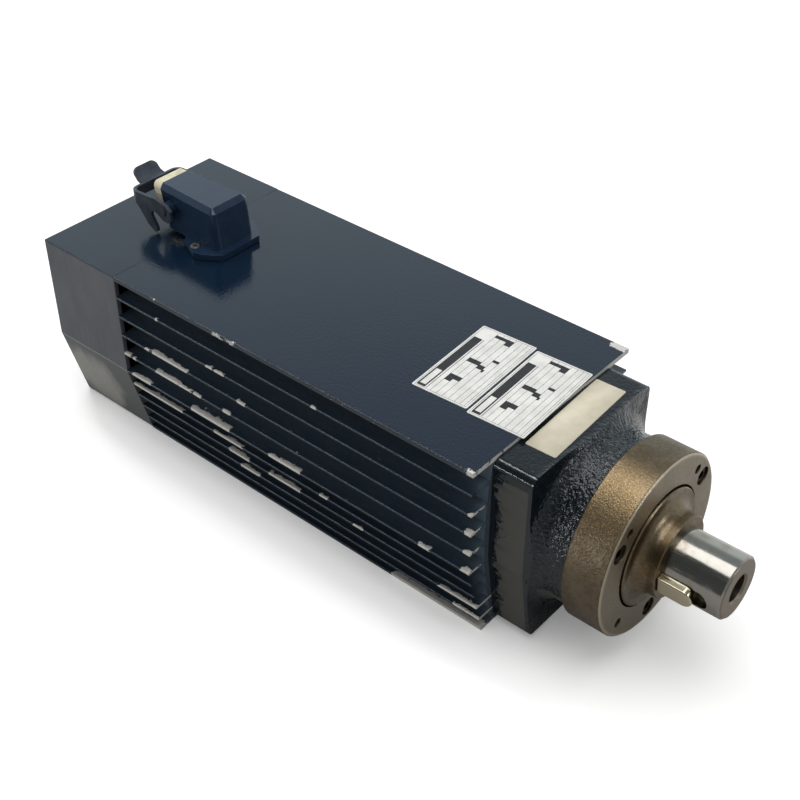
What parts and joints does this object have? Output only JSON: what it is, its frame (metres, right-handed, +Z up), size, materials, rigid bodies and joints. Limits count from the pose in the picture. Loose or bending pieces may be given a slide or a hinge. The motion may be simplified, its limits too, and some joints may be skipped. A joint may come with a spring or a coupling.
{
  "type": "motor spindle",
  "caption": "Finned motor spindle with a round mounting ring, keyed nose shaft with tapped end, rear fan cowl and an angled power connector with a locking lever.",
  "frame": {"origin": "shaft axis at the front face of the mounting ring", "axes": "+X along the shaft and out of the nose, +Z up from the underside to the flat top"},
  "size_m": [0.4066, 0.123, 0.1375],
  "materials": {
    "blue_black_paint": "smooth semi-gloss",
    "cast_paint": "rough cast, painted",
    "cowl_paint": "matte, scuffed",
    "stained_steel": "turned, stained",
    "ground_steel": "ground",
    "bearing_steel": "polished",
    "screw_steel": "blackened",
    "laminations": "stacked sheet",
    "copper_wire": "varnished",
    "cast_aluminium": "as cast",
    "brass": "turned",
    "cage_plastic": "moulded",
    "fan_plastic": "moulded",
    "ivory_plastic": "moulded",
    "grey_plastic": "moulded",
    "lead_insulation": "extruded",
    "gasket_rubber": "soft",
    "white_foil": "printed foil",
    "cream_foil": "foil"
  },
  "bodies": {
    "stator": {"finned_housing": "blue_black_paint", "front_shield": "cast_paint", "front_shield_screws": "screw_steel", "flange_ring": "stained_steel", "flange_ring_screws": "screw_steel", "rear_shield": "cast_aluminium", "rear_shield_screws": "screw_steel", "stator_core": "laminations", "stator_windings": "copper_wire", "stator_leads": "lead_insulation", "fan_cowl": "cowl_paint", "intake_grille": "cowl_paint", "cowl_screws": "screw_steel", "front_outer_rings": "bearing_steel", "rear_outer_ring": "bearing_steel", "rating_plate_rear": "white_foil", "rating_plate_front": "white_foil", "nose_label": "cream_foil", "connector_gasket": "gasket_rubber", "connector_housing": "blue_black_paint", "connector_seal": "ivory_plastic", "contact_insert": "grey_plastic", "contact_pins": "brass", "connector_screws": "screw_steel", "lever_pins": "ground_steel"},
    "rotor": {"shaft": "ground_steel", "shaft_key": "ground_steel", "nose_disc": "stained_steel", "rotor_core": "laminations", "rotor_cage": "cast_aluminium", "bearing_lock_nut": "screw_steel", "front_inner_rings": "bearing_steel", "rear_inner_ring": "bearing_steel", "fan": "fan_plastic", "fan_clip": "screw_steel"},
    "front_ball_set": {"front_balls": "bearing_steel", "front_cages": "cage_plastic"},
    "rear_ball_set": {"rear_balls": "bearing_steel", "rear_cage": "cage_plastic"},
    "lever": {"locking_lever": "screw_steel"}
  },
  "joints": [
    {"name": "shaft_spin", "type": "hinge", "parent": "stator", "child": "rotor", "pos_m": [0, 0, 0], "axis": [1, 0, 0], "continuous": true},
    {"name": "front_ball_spin", "type": "hinge", "parent": "stator", "child": "front_ball_set", "pos_m": [-0.039, 0, 0], "axis": [1, 0, 0], "continuous": true},
    {"name": "rear_ball_spin", "type": "hinge", "parent": "stator", "child": "rear_ball_set", "pos_m": [-0.307, 0, 0], "axis": [1, 0, 0], "continuous": true},
    {"name": "lever_swing", "type": "hinge", "parent": "stator", "child": "lever", "pos_m": [-0.311, 0, 0.066], "axis": [0, 1, 0], "range_deg": [0, 105]}
  ],
  "couplings": [
    {"joint": "front_ball_spin", "follows": "shaft_spin", "ratio": 0.43},
    {"joint": "rear_ball_spin", "follows": "shaft_spin", "ratio": 0.38}
  ]
}
